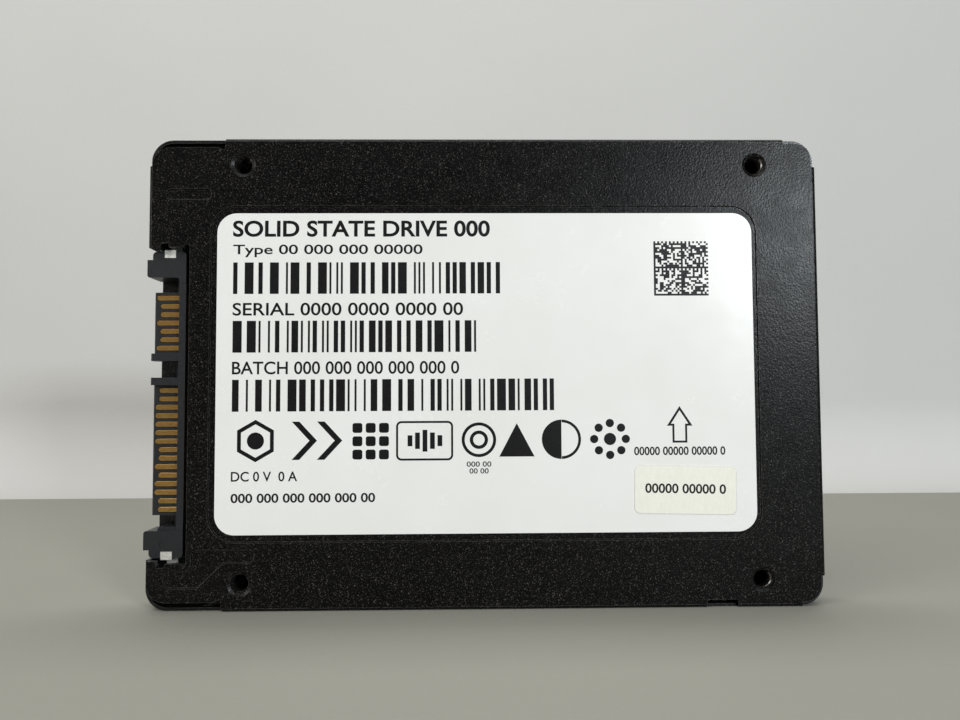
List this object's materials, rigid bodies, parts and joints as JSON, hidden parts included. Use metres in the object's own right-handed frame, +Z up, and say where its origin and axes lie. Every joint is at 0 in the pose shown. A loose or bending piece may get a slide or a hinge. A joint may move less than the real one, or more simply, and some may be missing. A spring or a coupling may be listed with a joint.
{
  "type": "solid state drive",
  "caption": "Slim rectangular solid state drive in a black metal case, with an edge plug at one end, screw holes in the face and sides, and a pale label.",
  "frame": {"origin": "centre of the lower long side, where the drive stands", "axes": "+X along the drive away from the plug end, +Y from the mounting face to the cover, +Z up across the drive's width"},
  "size_m": [0.1004, 0.007, 0.0698],
  "materials": {
    "pan_coat": "satin",
    "cover_coat": "satin",
    "label_film": "satin",
    "sticker_paper": "matte",
    "plug_housing": "satin",
    "contact_metal": "gloss",
    "tab_metal": "gloss",
    "board_laminate": "satin",
    "chip_mould": "matte",
    "ferrite_body": "matte",
    "can_metal": "satin",
    "tantalum_body": "satin",
    "ceramic_body": "satin",
    "resistor_body": "satin",
    "thermal_pad": "matte",
    "screw_metal": "satin"
  },
  "bodies": {
    "root": {"base_pan": "pan_coat", "top_cover": "cover_coat", "rating_label": "label_film", "origin_sticker": "sticker_paper", "connector_housing": "plug_housing", "signal_contacts": "contact_metal", "power_contacts": "contact_metal", "hold_down_tabs": "tab_metal", "circuit_board": "board_laminate", "controller_chip": "chip_mould", "memory_chip": "chip_mould", "flash_chip_1": "chip_mould", "flash_chip_2": "chip_mould", "flash_chip_3": "chip_mould", "flash_chip_4": "chip_mould", "boot_flash_chip": "chip_mould", "power_chip": "chip_mould", "buck_regulators": "chip_mould", "power_inductors": "ferrite_body", "crystal": "can_metal", "tantalum_capacitors": "tantalum_body", "ceramic_capacitors": "ceramic_body", "chip_resistors": "resistor_body", "input_fuse": "ceramic_body", "surge_diode": "chip_mould", "controller_pad": "thermal_pad", "flash_pad": "thermal_pad", "board_screws": "screw_metal"}
  },
  "joints": []
}
